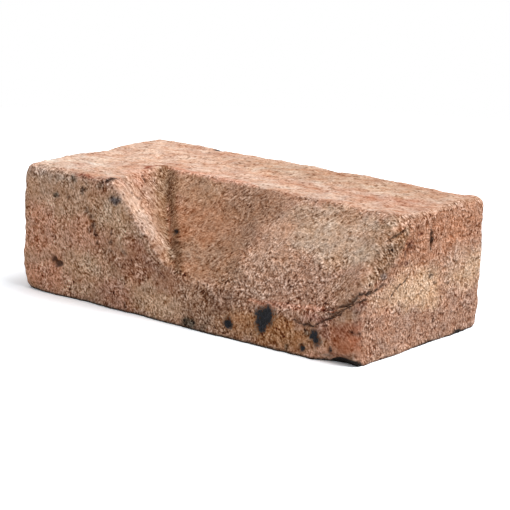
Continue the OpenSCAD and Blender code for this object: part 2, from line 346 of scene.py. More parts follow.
# Painted brown shade in the valley beside the ridge, up the fold wall: line, reaches and edges in millimetres
FOLD_BAND = [
    (-52.5, -4, 64), (-43, -11, 58.5), (-32.5, -21.5, 49.7), (-20.5, -32.5, 41), (-12.5, -40.5, 34.5),
    (-6, -46.5, 30), (-2, -50, 26.5),
]
VALLEY_STRENGTH = 0.8
VALLEY_REACH = 3.5
VALLEY_EDGE = 2.5
WALL_REACH = 5
WALL_BULGE = 6
WALL_EDGE = 7
WALL_FADE = (0.05, 0.35)
HIGHLIGHT_COVER = 0.8

# Clay colours, as they look in plain light; a few of them stand for painted shade or a painted highlight
CLAYS = {
    "worn_edge": (203, 167, 145),
    "salmon": (226, 166, 136),
    "olive_sand": (213, 171, 141),
    "pale_sand": (222, 183, 151),
    "dusky_red": (182, 128, 100),
    "rose": (198, 146, 122),
    "dull_brown": (170, 131, 105),
    "ochre_brown": (180, 136, 104),
    "ochre": (186, 132, 90),
    "lip_brown": (148, 112, 92),
    "rose_brown": (187, 145, 122),
    "fired_red": (188, 112, 76),
    "burnt_orange": (176, 127, 96),
    "olive_brown": (182, 143, 114),
    "umber": (161, 123, 97),
    "hot_orange": (190, 136, 103),
    "pale_rose": (208, 168, 143),
    "warm_grey": (203, 173, 149),
    "pale_grey": (210, 181, 156),
    "olive_grey": (162, 134, 110),
    "brick_orange": (194, 140, 110),
    "buff_yellow": (227, 189, 156),
    "bed_pink": (198, 160, 138),
    "bed_red": (194, 148, 125),
    "bed_brown": (184, 148, 122),
    "bed_light": (213, 176, 153),
    "bed_pale": (222, 197, 178),
    # painted highlight along the ridge of the fold
    "ridge_highlight": (212, 182, 162),
    "ridge_tan": (188, 148, 124),
    # painted shade: fold_brown and fold_deep in the fold's valley, olive_shade along the right arris
    "fold_brown": (152, 118, 90),
    "fold_deep": (112, 78, 54),
    "olive_shade": (154, 123, 98),
    "plum": (172, 124, 106),
    "rim_pink": (212, 152, 126),
    "crease_red": (150, 88, 66),
    # red-brown painted shade in the end's crevice and under the seam
    "red_brown_shade": (106, 58, 40),
    "olive_stain": (86, 76, 62),
    "blue_stain": (84, 82, 88),
    # painted shade in pits and blow holes
    "pit_shade": (64, 42, 30),
    # painted shade along the floor and in the flake's break
    "foot_shade_paint": (30, 24, 20),
    "iron_black": (6, 7, 9),
    "iron_grey": (44, 44, 50),
    # painted shade in the cracks
    "crack_shade": (58, 38, 26),
}

# Faces: the way that each looks, the clay that it is mostly made of and the strength of its grain
FACES = {
    "front": ((0, -1, 0), "olive_sand", 1.14),
    "back": ((0, 1, 0), "olive_sand", 0.76),
    "left": ((-1, 0, 0), "pale_rose", 0.80),
    "end": ((1, 0, 0), "rose_brown", 0.96),
    "top": ((0, 0, 1), "bed_pink", 0.40),
    "bottom": ((0, 0, -1), "rose_brown", 0.7),
    "slope": ((0, -0.72, 0.69), "rose_brown", 0.66),
    "wall": ((0.71, 0.07, 0.70), "ridge_tan", 0.68),
}
FACE_FADE = (0.70, 0.92)
EDGE_GRAIN = 0.7
GRAIN_LIMITS = (0.4, 1.2)

# Soft patches: face, clay, strength, middle and reach along the three axes, in millimetres
PATCHES = [
    ("front", "salmon", 0.8, (-96, -51, 36), (13, 30, 13)),
    ("front", "salmon", 0.6, (-64, -51, 36), (15, 30, 8)),
    ("front", "salmon", 0.9, (-93, -51, 9), (18, 30, 10)),
    ("front", "salmon", 0.45, (-74, -51, 26), (24, 30, 16)),
    ("front", "pale_sand", 0.8, (-44, -51, 47), (12, 30, 12)),
    ("front", "pale_sand", 0.6, (-72, -51, 18), (7, 30, 7)),
    ("front", "dusky_red", 0.85, (-28, -51, 24), (15, 30, 8)),
    ("front", "dusky_red", 0.5, (-48, -51, 35), (10, 30, 6)),
    ("front", "dusky_red", 0.5, (-54, -51, 59), (7, 30, 5)),
    ("front", "pale_sand", 0.9, (-61, -51, 20), (8, 30, 7)),
    ("front", "rose", 0.8, (-44, -51, 8), (14, 30, 8)),
    ("front", "pale_sand", 0.7, (-14, -51, 8), (16, 30, 8)),
    ("front", "dull_brown", 0.9, (20, -51, 12), (18, 30, 14)),
    ("front", "ochre_brown", 0.8, (38, -50, 11), (14, 30, 10)),
    ("front", "ochre", 0.95, (62, -51, 9), (26, 30, 10)),
    ("front", "rose_brown", 0.8, (68, -51, 17.5), (24, 30, 4.5)),
    ("front", "plum", 0.9, (85, -51, 18.4), (7, 30, 2.6)),
    ("any", "lip_brown", 0.8, (27, -49.5, 17), (10, 6, 6)),
    ("any", "fired_red", 0.8, (101.5, -51, 12), (10.5, 6, 11)),
    ("front", "plum", 0.7, (91, -51, 14), (5, 30, 5)),
    ("front", "salmon", 0.7, (91, -51, 2), (12, 30, 4)),
    ("slope", "burnt_orange", 0.9, (-8, -30, 44), (30, 26, 22)),
    ("slope", "olive_brown", 0.8, (-22, -12, 60), (22, 14, 9)),
    ("slope", "umber", 0.7, (20, -18, 56), (24, 14, 12)),
    ("slope", "umber", 0.8, (15, -40, 32), (14, 14, 14)),
    ("slope", "umber", 0.5, (12, -44, 30), (16, 10, 7)),
    ("slope", "hot_orange", 0.6, (2, -50, 25), (9, 10, 5)),
    ("slope", "pale_rose", 0.85, (46, -38, 37), (18, 14, 14)),
    ("slope", "pale_rose", 0.8, (46, -46, 25), (12, 8, 5)),
    ("slope", "umber", 0.7, (26, -43, 29), (9, 9, 9)),
    ("slope", "warm_grey", 0.85, (68, -20, 58), (28, 12, 9)),
    ("slope", "pale_grey", 0.7, (80, -31, 48), (20, 12, 9)),
    ("slope", "pale_grey", 0.6, (60, -28, 50), (10, 8, 8)),
    ("slope", "umber", 0.15, (52, -18, 59), (12, 6, 5)),
    ("slope", "pale_rose", 0.75, (44, -27, 50.5), (12, 9, 8)),
    ("slope", "warm_grey", 0.6, (92, -20, 59), (10, 8, 6)),
    ("slope", "rose_brown", 0.7, (68, -44, 30), (30, 10, 9)),
    ("slope", "olive_grey", 0.6, (103, -26, 53), (11, 18, 14)),
    ("slope", "olive_brown", 0.45, (97, -44, 33), (12, 10, 8)),
    ("slope", "umber", 0.6, (53, -20, 58), (9, 6, 5)),
    ("any", "rose", 0.7, (-48, -45.5, 64.5), (8, 6, 4)),
    ("any", "burnt_orange", 0.7, (-13.5, -46, 30.5), (7, 5, 5)),
    ("slope", "umber", 0.6, (76, -17, 60.5), (9, 6, 5)),
    ("slope", "pale_grey", 0.8, (97, -32, 49), (7, 7, 6)),
    ("slope", "umber", 0.9, (-7, -40.5, 34.7), (9, 8, 8)),
    # painted shade at the lower end of the shaded arris band
    ("any", "olive_grey", 0.5, (107, -41, 38), (6, 5, 5)),
    ("any", "crease_red", 0.45, (104, -50.5, 19), (7, 5, 4)),
    ("any", "bed_pale", 0.6, (-86, -50, 64.5), (15, 4, 3.5)),
    ("front", "dusky_red", 0.5, (-42, -51, 27), (6, 30, 5)),
    ("front", "rose", 0.6, (-30, -51, 34.5), (6, 30, 5)),
    ("front", "salmon", 0.6, (-102, -51, 25), (8, 30, 7)),
    ("front", "dusky_red", 0.6, (-8, -51, 20), (9, 30, 5)),
    ("any", "lip_brown", 0.5, (43, -49, 18), (8, 5, 4)),
    ("slope", "umber", 0.6, (21, -31, 42), (8, 8, 8)),
    ("slope", "umber", 0.5, (7, -48, 26), (8, 6, 5)),
    ("slope", "olive_brown", 0.5, (83, -35, 43), (7, 6, 6)),
    ("slope", "olive_grey", 0.5, (101, -16, 62), (8, 6, 4)),
    ("slope", "rose_brown", 0.6, (88, -48, 26), (7, 5, 3)),
    ("end", "brick_orange", 0.9, (107, 12, 54), (20, 46, 14)),
    ("end", "burnt_orange", 0.7, (107, -13, 50), (20, 8, 10)),
    ("any", "brick_orange", 0.7, (107.5, -12, 49), (4, 6, 9)),
    ("end", "buff_yellow", 0.9, (107, -5, 31), (20, 20, 11)),
    ("end", "buff_yellow", 0.8, (107, 38, 32), (20, 18, 10)),
    ("end", "buff_yellow", 0.5, (107, -29, 28), (20, 12, 6)),
    ("end", "pale_rose", 0.7, (107, 28, 38), (20, 12, 8)),
    ("end", "buff_yellow", 0.7, (107, 8, 22.5), (20, 10, 6)),
    ("end", "rose_brown", 0.6, (107, -10, 38.5), (20, 8, 5)),
    ("end", "dusky_red", 0.4, (107, -44, 6), (20, 8, 8)),
    ("end", "dusky_red", 0.35, (107, -34, 20), (20, 8, 10)),
    ("end", "dusky_red", 0.5, (107, 14, 61), (20, 8, 4)),
    ("back", "salmon", 0.7, (62, 51, 40), (22, 30, 14)),
    ("back", "dusky_red", 0.7, (16, 51, 20), (24, 30, 12)),
    ("back", "pale_sand", 0.8, (-28, 51, 44), (20, 30, 13)),
    ("back", "salmon", 0.7, (-78, 51, 14), (22, 30, 11)),
    ("back", "olive_brown", 0.7, (90, 51, 12), (16, 30, 12)),
    ("back", "rose", 0.6, (-86, 51, 46), (16, 30, 12)),
    ("left", "salmon", 0.6, (-107, -22, 24), (20, 18, 15)),
    ("left", "dusky_red", 0.7, (-107, 20, 44), (20, 20, 12)),
    ("left", "pale_sand", 0.7, (-107, 32, 14), (20, 14, 10)),
    ("bottom", "dusky_red", 0.7, (-50, 10, 0), (34, 24, 20)),
    ("bottom", "olive_sand", 0.7, (44, -14, 0), (38, 22, 20)),
    ("top", "bed_light", 0.9, (-50, 8, 65), (75, 50, 20)),
    ("any", "bed_light", 0.8, (-97, -49, 65.5), (13, 5, 4)),
    ("top", "bed_pale", 0.8, (-86, -26, 65), (18, 20, 20)),
    ("top", "bed_red", 0.35, (-62, -18, 65), (18, 8, 20)),
    ("top", "bed_red", 0.3, (-44, 33, 65), (28, 10, 20)),
    ("top", "bed_red", 0.7, (80, 13, 65), (18, 8, 20)),
    ("top", "bed_pale", 0.35, (35, -3, 65), (40, 5, 20)),
    ("top", "bed_red", 0.5, (-26, 4, 65), (36, 9, 20)),
    ("top", "bed_red", 0.5, (60, 38, 65), (60, 14, 20)),
    ("top", "bed_brown", 0.75, (36, 34, 65), (84, 16, 20)),
    ("any", "bed_pale", 0.8, (-95, -39, 66), (13, 10, 4)),
    ("top", "bed_red", 0.45, (-81, -34, 65), (12, 7, 20)),
    ("any", "rim_pink", 0.4, (-50, -27, 65), (10, 8, 4)),
    ("any", "bed_red", 0.5, (-39, -8, 65.4), (12, 4, 3)),
    ("any", "umber", 0.45, (13, -9, 64.6), (11, 3.5, 2.6)),
]
PATCH_FADE = (1.35, 0.45)

# Places where the sand is rubbed down: strength, middle and reach along the three axes, in millimetres
SMOOTH_PATCHES = [
    (0.6, (101, -51, 11), (14, 9, 12)),
    (0.16, (-4, -34, 41), (26, 22, 22)),
    (0.2, (62, -51, 9), (26, 8, 9)),
    (0.2, (-34, -44, 48), (12, 6, 14)),
]
SMOOTH_FADE = (1.3, 0.3)

# Ways in which patterns in the clay were dragged along, and how far each is drawn out
STREAKS = {
    "uprights": ((0.5, 0, -0.86), 1.8),
    "slopes": ((0.55, 0.60, 0.58), 2.4),
    "ends": ((0, 0, 1), 1.8),
    "beds": ((1, 0, 0), 1.4),
    "wall": ((0.73, 0.08, -0.68), 2.4),
    "furrow": ((0.73, 0.08, -0.68), 3.5),
    "bed_streak": ((1, 0.06, 0), 1.6),
}
WAY_LEAST = 0.1

# Patterns in the clay: the size of each in millimetres, and how many finer layers it has
PATTERNS = {
    "crumb": (2.4, 1.0),
    "sand": (0.85, 0.0),
    "coarse_sand": (1.4, 0.0),
    "strand": (1.0, 0.0),
    "furrow": (2.6, 1.0),
    "bed_streak": (6.0, 3.0),
    "mottle": (11.0, 2.0),
    "blotch": (4.2, 1.0),
    "patchy": (9.0, 1.0),
}
PATTERN_ROUGHNESS = 0.55

# Bends in those patterns: the size of each bend, its finer layers and its reach, in millimetres
BENDS = {"streaks": (14, 1.0, 7), "pin_holes": (3, 0.0, 1.4)}

# Sandy grain: the shares that it is made of, its contrast, the painted shade in its pits and its relief
SAND_SHARE = 0.42
COARSE_SHARE = 0.26
STRAND_SHARE = 0.52
GRAIN_LEVEL = 1.04
PATCHY_ENDS = (0.3, 0.7)
PATCHY_SHARES = (0.6, 1.4)
CRUMB_LEVEL = 0.16
FURROW_LEVEL = 0.30
BED_STREAK = (0.40, 0.58, 0.62)
PIT_LEVEL = 0.22
CRUMB_PIT_ENDS = (-0.10, -0.22)
CRUMB_PIT_DEPTH = 0.6
PIN_HOLE_SPACING = 4.6
PIN_HOLE_ENDS = (0.20, 0.10)
CRUMB_RELIEF = 0.6
GRAIN_RELIEF = 1.2 * MM

# Casts over the clay: the pattern of each, its ends, and its warm and its cool side
CASTS = [
    ("mottle", (0.35, 0.65), (1.035, 0.985, 0.94, 1), (0.975, 1.0, 1.03, 1)),
    ("blotch", (0.32, 0.68), (1.03, 0.99, 0.96, 1), (0.975, 1.0, 1.03, 1)),
]

# Marks on the clay: how far grain and crumbs break the edge of each, its ends and its strength; holes and
# cracks are darkened with painted shade
MARKS = {
    "hole": (0.7, 0.0, (0.05, 0.40), 0.85),
    "iron": (0.9, 0.9, (-0.12, 0.42), 1.0),
    "crack": (0.7, 1.1, (0.25, 0.95), 0.88),
}
SLAG_ENDS = (-0.12, 0.22)

# Tone of the clay as the eye sees it, and its gloss
EYE_GAMMA = 2.2
DARKEST_TONE = (0.1, 0.07, 0.05)
CLAY_ROUGHNESS = 0.95
IRON_ROUGHNESS = 0.8
CLAY_SPECULAR = 0.25


def deselect_all():
    bpy.ops.object.select_all(action="DESELECT")


def make_active(piece):
    deselect_all()
    piece.select_set(True)
    bpy.context.view_layer.objects.active = piece


def add_modifier(piece, kind, **settings):
    make_active(piece)
    modifier = piece.modifiers.new(kind.lower(), kind)
    for name, value in settings.items():
        setattr(modifier, name, value)
    bpy.ops.object.modifier_apply(modifier=modifier.name)


def places(piece):
    """Vertices of a piece, in millimetres."""
    flat = np.empty(len(piece.data.vertices) * 3)
    piece.data.vertices.foreach_get("co", flat)
    return flat.reshape(-1, 3) / MM


def facings(piece):
    """Ways that the vertices of a piece look."""
    flat = np.empty(len(piece.data.vertices) * 3)
    piece.data.vertices.foreach_get("normal", flat)
    return flat.reshape(-1, 3)


def move_to(piece, points):
    piece.data.vertices.foreach_set("co", (points * MM).ravel())
    piece.data.update()


def write_colours(piece, name, values):
    layer = piece.data.color_attributes.new(name=name, type="FLOAT_COLOR", domain="POINT")
    layer.data.foreach_set("color", values.astype(np.float32).ravel())


def write_values(piece, name, values):
    layer = piece.data.attributes.new(name=name, type="FLOAT", domain="POINT")
    layer.data.foreach_set("value", values.astype(np.float32))


def take_values(piece, name):
    """Takes a value of each vertex back, and removes it from the mesh."""
    layer = piece.data.attributes[name]
    values = np.empty(len(piece.data.vertices))
    layer.data.foreach_get("value", values)
    piece.data.attributes.remove(layer)
    return values


def keep_facings(piece):
    """Notes which way each place looks before the fine relief, for the colours to follow."""
    layer = piece.data.attributes.new(name="plain_facing", type="FLOAT_VECTOR", domain="POINT")
    layer.data.foreach_set("vector", facings(piece).ravel())


def take_facings(piece):
    """Takes the noted ways back, and removes them from the mesh."""
    layer = piece.data.attributes["plain_facing"]
    flat = np.empty(len(piece.data.vertices) * 3)
    layer.data.foreach_get("vector", flat)
    piece.data.attributes.remove(layer)
    normals = flat.reshape(-1, 3)
    return normals / np.linalg.norm(normals, axis=1)[:, None]


def weigh(piece, name, weights):
    """A vertex group with a weight for each vertex, in even steps."""
    group = piece.vertex_groups.new(name=name)
    steps = np.round(np.clip(weights, 0, 1) * WEIGHT_STEPS).astype(int)
    for step in range(1, WEIGHT_STEPS + 1):
        chosen = np.flatnonzero(steps == step)
        if len(chosen):
            group.add(chosen.tolist(), step / WEIGHT_STEPS, "REPLACE")
    return group.name


def smooth_part(piece, name, weights, rounds):
    """Smooths the places that have a weight."""
    group = weigh(piece, name, weights)
    add_modifier(piece, "SMOOTH", factor=SMOOTHING, iterations=rounds, vertex_group=group)


def ease(value):
    value = np.clip(value, 0, 1)
    return value * value * (3 - 2 * value)


def fade(value, start, full):
    """0 up to the start of an effect, 1 from where it is full, and an even rise between them."""
    return ease((value - start) / (full - start))


def fade_all(points, fades):
    """Product of fades along the axes at each place."""
    share = np.ones(len(points))
    for axis, start, full in fades:
        share *= fade(points[:, axis], start, full)
    return share


def taper(along, tip):
    """Share of its width that a line has, from 1 in the middle down to the tip's share at each end."""
    return np.clip(TAPER_SLOPE * along, tip, 1) * np.clip(TAPER_SLOPE * (1 - along), tip, 1)


def drift(points, size):
    """A slow even noise at each place, from about -1 to 1, with lumps of that size in millimetres."""
    return np.array([noise.noise(Vector(p) / size) for p in points])


def wandered(points, kind):
    """Places moved a little by a slow noise, so that carved and painted edges aren't even."""
    moved = points.copy()
    for size, reach in WANDERS[kind]:
        moved += np.array([noise.noise_vector(Vector(p) / size) for p in points]) * reach
    return moved


def distance_to_line(points, line, normals=None):
    """Distance from each point to a bent line, and how far along it, from 0 to 1, the nearest place is.

    Where normals are given, the line may lie a little under or over the surface.
    """
    line = np.array(line, float)
    lengths = np.linalg.norm(np.diff(line, axis=0), axis=1)
    starts = np.concatenate([[0], np.cumsum(lengths)])
    best = np.full(len(points), np.inf)
    share = np.zeros(len(points))
    for start, end, length, before in zip(line[:-1], line[1:], lengths, starts):
        along = np.clip((points - start) @ (end - start) / length ** 2, 0, 1)
        offset = points - start - along[:, None] * (end - start)
        away = np.linalg.norm(offset, axis=1)
        if normals is not None:
            height = np.abs(np.sum(offset * normals, axis=1))
            away = np.sqrt(np.maximum(away ** 2 - np.minimum(height, LINE_DEPTH) ** 2, 0))
        nearer = away < best
        best = np.where(nearer, away, best)
        share = np.where(nearer, (before + along * length) / starts[-1], share)
    return best, share


def distance_to_spot(points, middle, reach):
    """Distance from each point to the middle of a spot, which is 1 at its reach along each axis."""
    return np.linalg.norm((points - np.array(middle)) / reach, axis=1)


def spot_field(points, spots):
    """How far inside the nearest spot each place lies: 1 in its middle, 0 on its edge and less outside."""
    field = np.full(len(points), -1.0)
    for middle, reach in spots:
        field = np.maximum(field, 1 - distance_to_spot(points, middle, reach))
    return field


def facing_share(normals, face):
    """How far each place looks the way that a face does, from 0 to 1."""
    direction = FACES[face][0]
    return fade(normals @ np.array(direction), *FACE_FADE)


def add_camera():
    data = bpy.data.cameras.new("camera")
    data.lens = VIEW_LENS
    data.sensor_width = SENSOR_WIDTH
    data.sensor_fit = "HORIZONTAL"
    data.clip_end = VIEW_END
    camera = bpy.data.objects.new("camera", data)
    bpy.context.scene.collection.objects.link(camera)
    turn = Matrix.Rotation(VIEW_AZIMUTH, 4, "Z")
    tilt = Matrix.Rotation(math.radians(90) - VIEW_PITCH, 4, "X")
    roll = Matrix.Rotation(VIEW_ROLL, 4, "Z")
    facing = turn @ tilt @ roll
    back = facing.to_3x3() @ Vector((0, 0, 1))
    camera.matrix_world = Matrix.Translation(LOOK_AT + back * VIEW_DISTANCE) @ facing
    bpy.context.scene.camera = camera


def add_key_light():
    data = bpy.data.lights.new("key_box", "AREA")
    data.shape = "DISK"
    data.size = KEY_SIZE
    data.energy = KEY_POWER
    lamp = bpy.data.objects.new("key_box", data)
    bpy.context.scene.collection.objects.link(lamp)
    aim = (KEY_AIM - KEY_PLACE).to_track_quat("-Z", "Y")
    lamp.matrix_world = Matrix.Translation(KEY_PLACE) @ aim.to_matrix().to_4x4()


def eye_rays(tree):
    """1 for the camera's rays and for those that gloss or glass sends on to it, and 0 for other light."""
    path = tree.nodes.new("ShaderNodeLightPath")
    mirrored = tree.nodes.new("ShaderNodeMath")
    mirrored.operation = "MAXIMUM"
    tree.links.new(path.outputs["Is Glossy Ray"], mirrored.inputs[0])
    tree.links.new(path.outputs["Is Transmission Ray"], mirrored.inputs[1])
    either = tree.nodes.new("ShaderNodeMath")
    either.operation = "MAXIMUM"
    tree.links.new(path.outputs["Is Camera Ray"], either.inputs[0])
    tree.links.new(mirrored.outputs[0], either.inputs[1])
    return either.outputs[0]


def add_floor():
    deselect_all()
    bpy.ops.mesh.primitive_circle_add(vertices=FLOOR_SIDES, radius=FLOOR_RADIUS, fill_type="NGON")
    floor = bpy.context.object
    floor.name = "floor"
    paper = bpy.data.materials.new("white_paper")
    paper.use_nodes = True
    tree = paper.node_tree
    shader = tree.nodes["Principled BSDF"]
    shader.inputs["Roughness"].default_value = 1.0
    shader.inputs["Specular IOR Level"].default_value = 0.0
    paint = tree.nodes.new("ShaderNodeMixRGB")
    paint.inputs["Color1"].default_value = FLOOR_BOUNCE
    paint.inputs["Color2"].default_value = FLOOR_WHITE
    tree.links.new(eye_rays(tree), paint.inputs["Fac"])
    tree.links.new(paint.outputs["Color"], shader.inputs["Base Color"])
    floor.data.materials.append(paper)


def add_sky():
    world = bpy.data.worlds.new("studio")
    world.use_nodes = True
    tree = world.node_tree
    sky = tree.nodes["Background"]
    level = tree.nodes.new("ShaderNodeMapRange")
    level.inputs["To Min"].default_value = SKY_LEVEL
    level.inputs["To Max"].default_value = 1.0
    tree.links.new(eye_rays(tree), level.inputs["Value"])
    tree.links.new(level.outputs["Result"], sky.inputs["Strength"])
    sky.inputs["Color"].default_value = (1, 1, 1, 1)
    bpy.context.scene.world = world


def make_skin():
    """A fine even mesh over the solid, with the fold's ridge moved to its place and worn soft."""
    skin = bpy.data.objects.new("fired_brick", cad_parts["brick"].data.copy())
    bpy.context.scene.collection.objects.link(skin)
    make_active(skin)
    bpy.ops.object.mode_set(mode="EDIT")
    bpy.ops.mesh.select_all(action="SELECT")
    bpy.ops.mesh.remove_doubles(threshold=MERGE_DISTANCE)
    bpy.ops.object.mode_set(mode="OBJECT")
    add_modifier(skin, "REMESH", mode="VOXEL", voxel_size=SKIN_VOXEL, use_smooth_shade=True)
    add_modifier(skin, "SMOOTH", factor=SMOOTHING, iterations=SKIN_ROUNDS)
    points = places(skin)
    from_ridge, along = distance_to_line(points, RIDGE_LINE)
    share = RIDGE_TOP_SHARE + (1 - RIDGE_TOP_SHARE) * fade(along, *RIDGE_TOP_FADE)
    share *= fade(along, *RIDGE_END_FADE)
    points[:, X] += RIDGE_SHIFT * fade(from_ridge, *RIDGE_SHIFT_FADE) * share
    move_to(skin, points)
    smooth_part(skin, "ridge", fade(from_ridge, *RIDGE_WEAR_FADE), RIDGE_ROUNDS)
    from_foot = np.linalg.norm(points - FOLD_FOOT, axis=1)
    smooth_part(skin, "foot", fade(from_foot, *FOLD_FOOT_FADE), FOLD_FOOT_ROUNDS)
    return skin


def wear_edges(piece):
    """Rubs the arrises and four corners round, more in some places than in others, and fills the skin out."""
    points = places(piece)
    from_faces = np.sort(np.hstack([points - BOX_LOW, BOX_HIGH - points]), axis=1)
    from_edge = from_faces[:, 1]
    uneven = np.clip(WEAR_MEAN + WEAR_SWING * drift(points, WEAR_LUMPS), 0, 1)
    smooth_part(piece, "worn", fade(from_edge, *EDGE_WEAR_FADE) * uneven, EDGE_ROUNDS)
    for name, (side, reach, rounds) in ROUND_CORNERS.items():
        from_corner = np.linalg.norm(points - np.where(side, BOX_HIGH, BOX_LOW), axis=1)
        smooth_part(piece, name, fade(from_corner / reach, *CORNER_FADE), rounds)
    from_top = np.hypot(points[:, Y] - BOX_LOW[Y], points[:, Z] - BOX_HIGH[Z])
    left_top = fade(from_top, *LEFT_TOP_WEAR_FADE) * fade(points[:, X], *LEFT_TOP_START_FADE)
    smooth_part(piece, "left_top", left_top, LEFT_TOP_ROUNDS)
    move_to(piece, places(piece) + FILL_OUT * facings(piece))


def swell_faces(piece):
    """Moves the left end, two top edges and the lip out, and turns the foot of the right end."""
    points = places(piece)
    moved = points.copy()
    for axis, amount, fades in SWELLS.values():
        moved[:, axis] += amount * fade_all(points, fades)
    moved[:, X] -= END_TURN * points[:, Y] / END_HALF_WIDTH * fade_all(points, END_TURN_FADES)
    move_to(piece, moved)


def foot_shade_height(points):
    """Height of the shade painted along the floor, where a gap under the bottom edges would be dark."""
    x, y = points.T[:2]
    uneven = 1 + sum(share * drift(points, size) for size, share in FOOT_SHADE_LUMPS)
    shade_spots = sum(share * np.exp(-((y - middle) / SHADE_SPOT_REACH) ** 2) for middle, share in END_SHADE_SPOTS)
    at_end = 1 + (END_FOOT_SHADE_SHARE + shade_spots - 1) * fade(x, *END_FOOT_FADE)
    return FOOT_SHADE_HEIGHT * np.clip(uneven, *FOOT_SHADE_SHARES) * at_end


def flake_height(points):
    """Height of the break that the flake leaves at the right front corner, with ragged sides; the break is
    painted shade.
    """
    x, y = points.T[:2]
    ragged = FLAKE_RAGGED * drift(points, FLAKE_LUMPS)
    arch = fade(x + ragged, *FLAKE_LEFT_FADE) * fade(x - ragged, *FLAKE_RIGHT_FADE)
    return FLAKE_HEIGHT * arch * fade(y - ragged, *FLAKE_BACK_FADE)


def foot_rim(points):
    """1 on the places near an outer side of the brick and 0 further in, as seen from above."""
    inward = np.minimum(points - BOX_LOW, BOX_HIGH - points)[:, :2].min(axis=1)
    return fade(inward, *FOOT_RIM_FADE)


def shape_foot(piece):
    """Sharpens the bottom edges again, apart from the left front corner, and flares them less where the flake
    broke off; its dark break is painted shade.
    """
    points = places(piece)
    broken = ease((flake_height(points) - points[:, Z]) / FLAKE_EDGE)
    inset = FLAKE_INSET * broken - FOOT_FLARE * (1 - broken) * fade(points[:, Z], *FLARE_FADE)
    inset *= fade(np.linalg.norm(points[:, :2] - BOX_LOW[:2], axis=1), *LEFT_FOOT_FADE)
    for axis in (X, Y):
        points[:, axis] += inset * np.clip(1 - (points[:, axis] - BOX_LOW[axis]) / FLARE_DEPTH, 0, 1)
        points[:, axis] -= inset * np.clip(1 - (BOX_HIGH[axis] - points[:, axis]) / FLARE_DEPTH, 0, 1)
    move_to(piece, points)


def add_relief(piece, name, group=""):
    """Raises and sinks the surface in lumps, by the weights of a group where one is given."""
    size, height = RELIEFS[name]
    texture = bpy.data.textures.new(name, "CLOUDS")
    texture.noise_scale = size * MM
    texture.noise_depth = 1
    add_modifier(
        piece, "DISPLACE", texture=texture, texture_coords="LOCAL", strength=height * MM, mid_level=0.5,
        vertex_group=group,
    )
    bpy.data.textures.remove(texture)


def weigh_crumbs(piece):
    """The sanded faces and the fold wall are rough, and the beds and the slope of the hollow are smoother."""
    normals = facings(piece)
    rough = np.full(len(normals), EDGE_CRUMBLING)
    for face, share in CRUMBLING.items():
        rough += (share - rough) * facing_share(normals, face)
    return weigh(piece, "crumbling", rough)


def refine_near_cracks(piece, reach):
    """Splits the faces that lie within a reach of a crack."""
    points = places(piece)
    away = np.full(len(points), np.inf)
    for *_, line in CRACKS:
        away = np.minimum(away, distance_to_line(points, line, facings(piece))[0])
    near = away < reach
    corners = np.empty(len(piece.data.loops), int)
    piece.data.loops.foreach_get("vertex_index", corners)
    starts = np.empty(len(piece.data.polygons), int)
    piece.data.polygons.foreach_get("loop_start", starts)
    chosen = np.logical_or.reduceat(near[corners], starts)
    make_active(piece)
    bpy.ops.object.mode_set(mode="EDIT")
    bpy.ops.mesh.select_mode(type="FACE")
    bpy.ops.mesh.select_all(action="DESELECT")
    bpy.ops.object.mode_set(mode="OBJECT")
    piece.data.polygons.foreach_set("select", chosen)
    bpy.ops.object.mode_set(mode="EDIT")
    bpy.ops.mesh.subdivide(number_cuts=1, smoothness=0)
    bpy.ops.object.mode_set(mode="OBJECT")


def crack_field(points, normals):
    """How deep in a crack each place lies, in millimetres, and how dark the shade painted there is."""
    depth = np.zeros(len(points))
    darkness = np.zeros(len(points))
    bent = wandered(points, "cracks")
    ragged = np.clip(1 + CRACK_RAGGED * drift(points, CRACK_LUMPS), *CRACK_WIDTHS)
    for half_width, deepest, dark, line in CRACKS:
        away, along = distance_to_line(bent, line, normals)
        width = taper(along, CRACK_TIP)
        profile = np.exp(-(away / (half_width * width * ragged)) ** 2)
        depth = np.maximum(depth, deepest * width * profile)
        darkness = np.maximum(darkness, dark * profile)
    return depth, darkness


def carve_cracks(piece):
    for reach in REFINED_NEAR:
        refine_near_cracks(piece, reach)
    points = places(piece)
    depth, darkness = crack_field(points, facings(piece))
    # how dark the shade painted in the cracks is
    write_values(piece, "crack", darkness)
    move_to(piece, points - facings(piece) * depth[:, None])


def sink_pits(piece):
    """Sinks the blow holes, and the iron spots a little."""
    points = places(piece)
    depth = HOLE_DEPTH * ease(spot_field(points, BLOW_HOLES) * HOLE_STEEPNESS)
    depth += IRON_DENT * ease(spot_field(points, IRON_SPOTS) * IRON_STEEPNESS)
    move_to(piece, points - facings(piece) * depth[:, None])


def settle(piece):
    """Brings the bottom edges down to the floor, so that no light comes through under them."""
    points = places(piece)
    points[:, Z] *= 1 - take_values(piece, "resting") * foot_rim(points)
    points[:, Z] = np.maximum(points[:, Z], 0)
    move_to(piece, points)


def linear(colour):
    """A colour given as seen on a screen, from 0 to 255, as the light that it sends back."""
    share = np.array(colour, float) / 255
    return np.where(share <= 0.04045, share / 12.92, ((share + 0.055) / 1.055) ** 2.4)


def lay(tint, clay, weight):
    """Mixes a clay into the tint of each place, by a weight from 0 to 1."""
    tint += (linear(CLAYS[clay]) - tint) * np.clip(weight, 0, 1)[:, None]


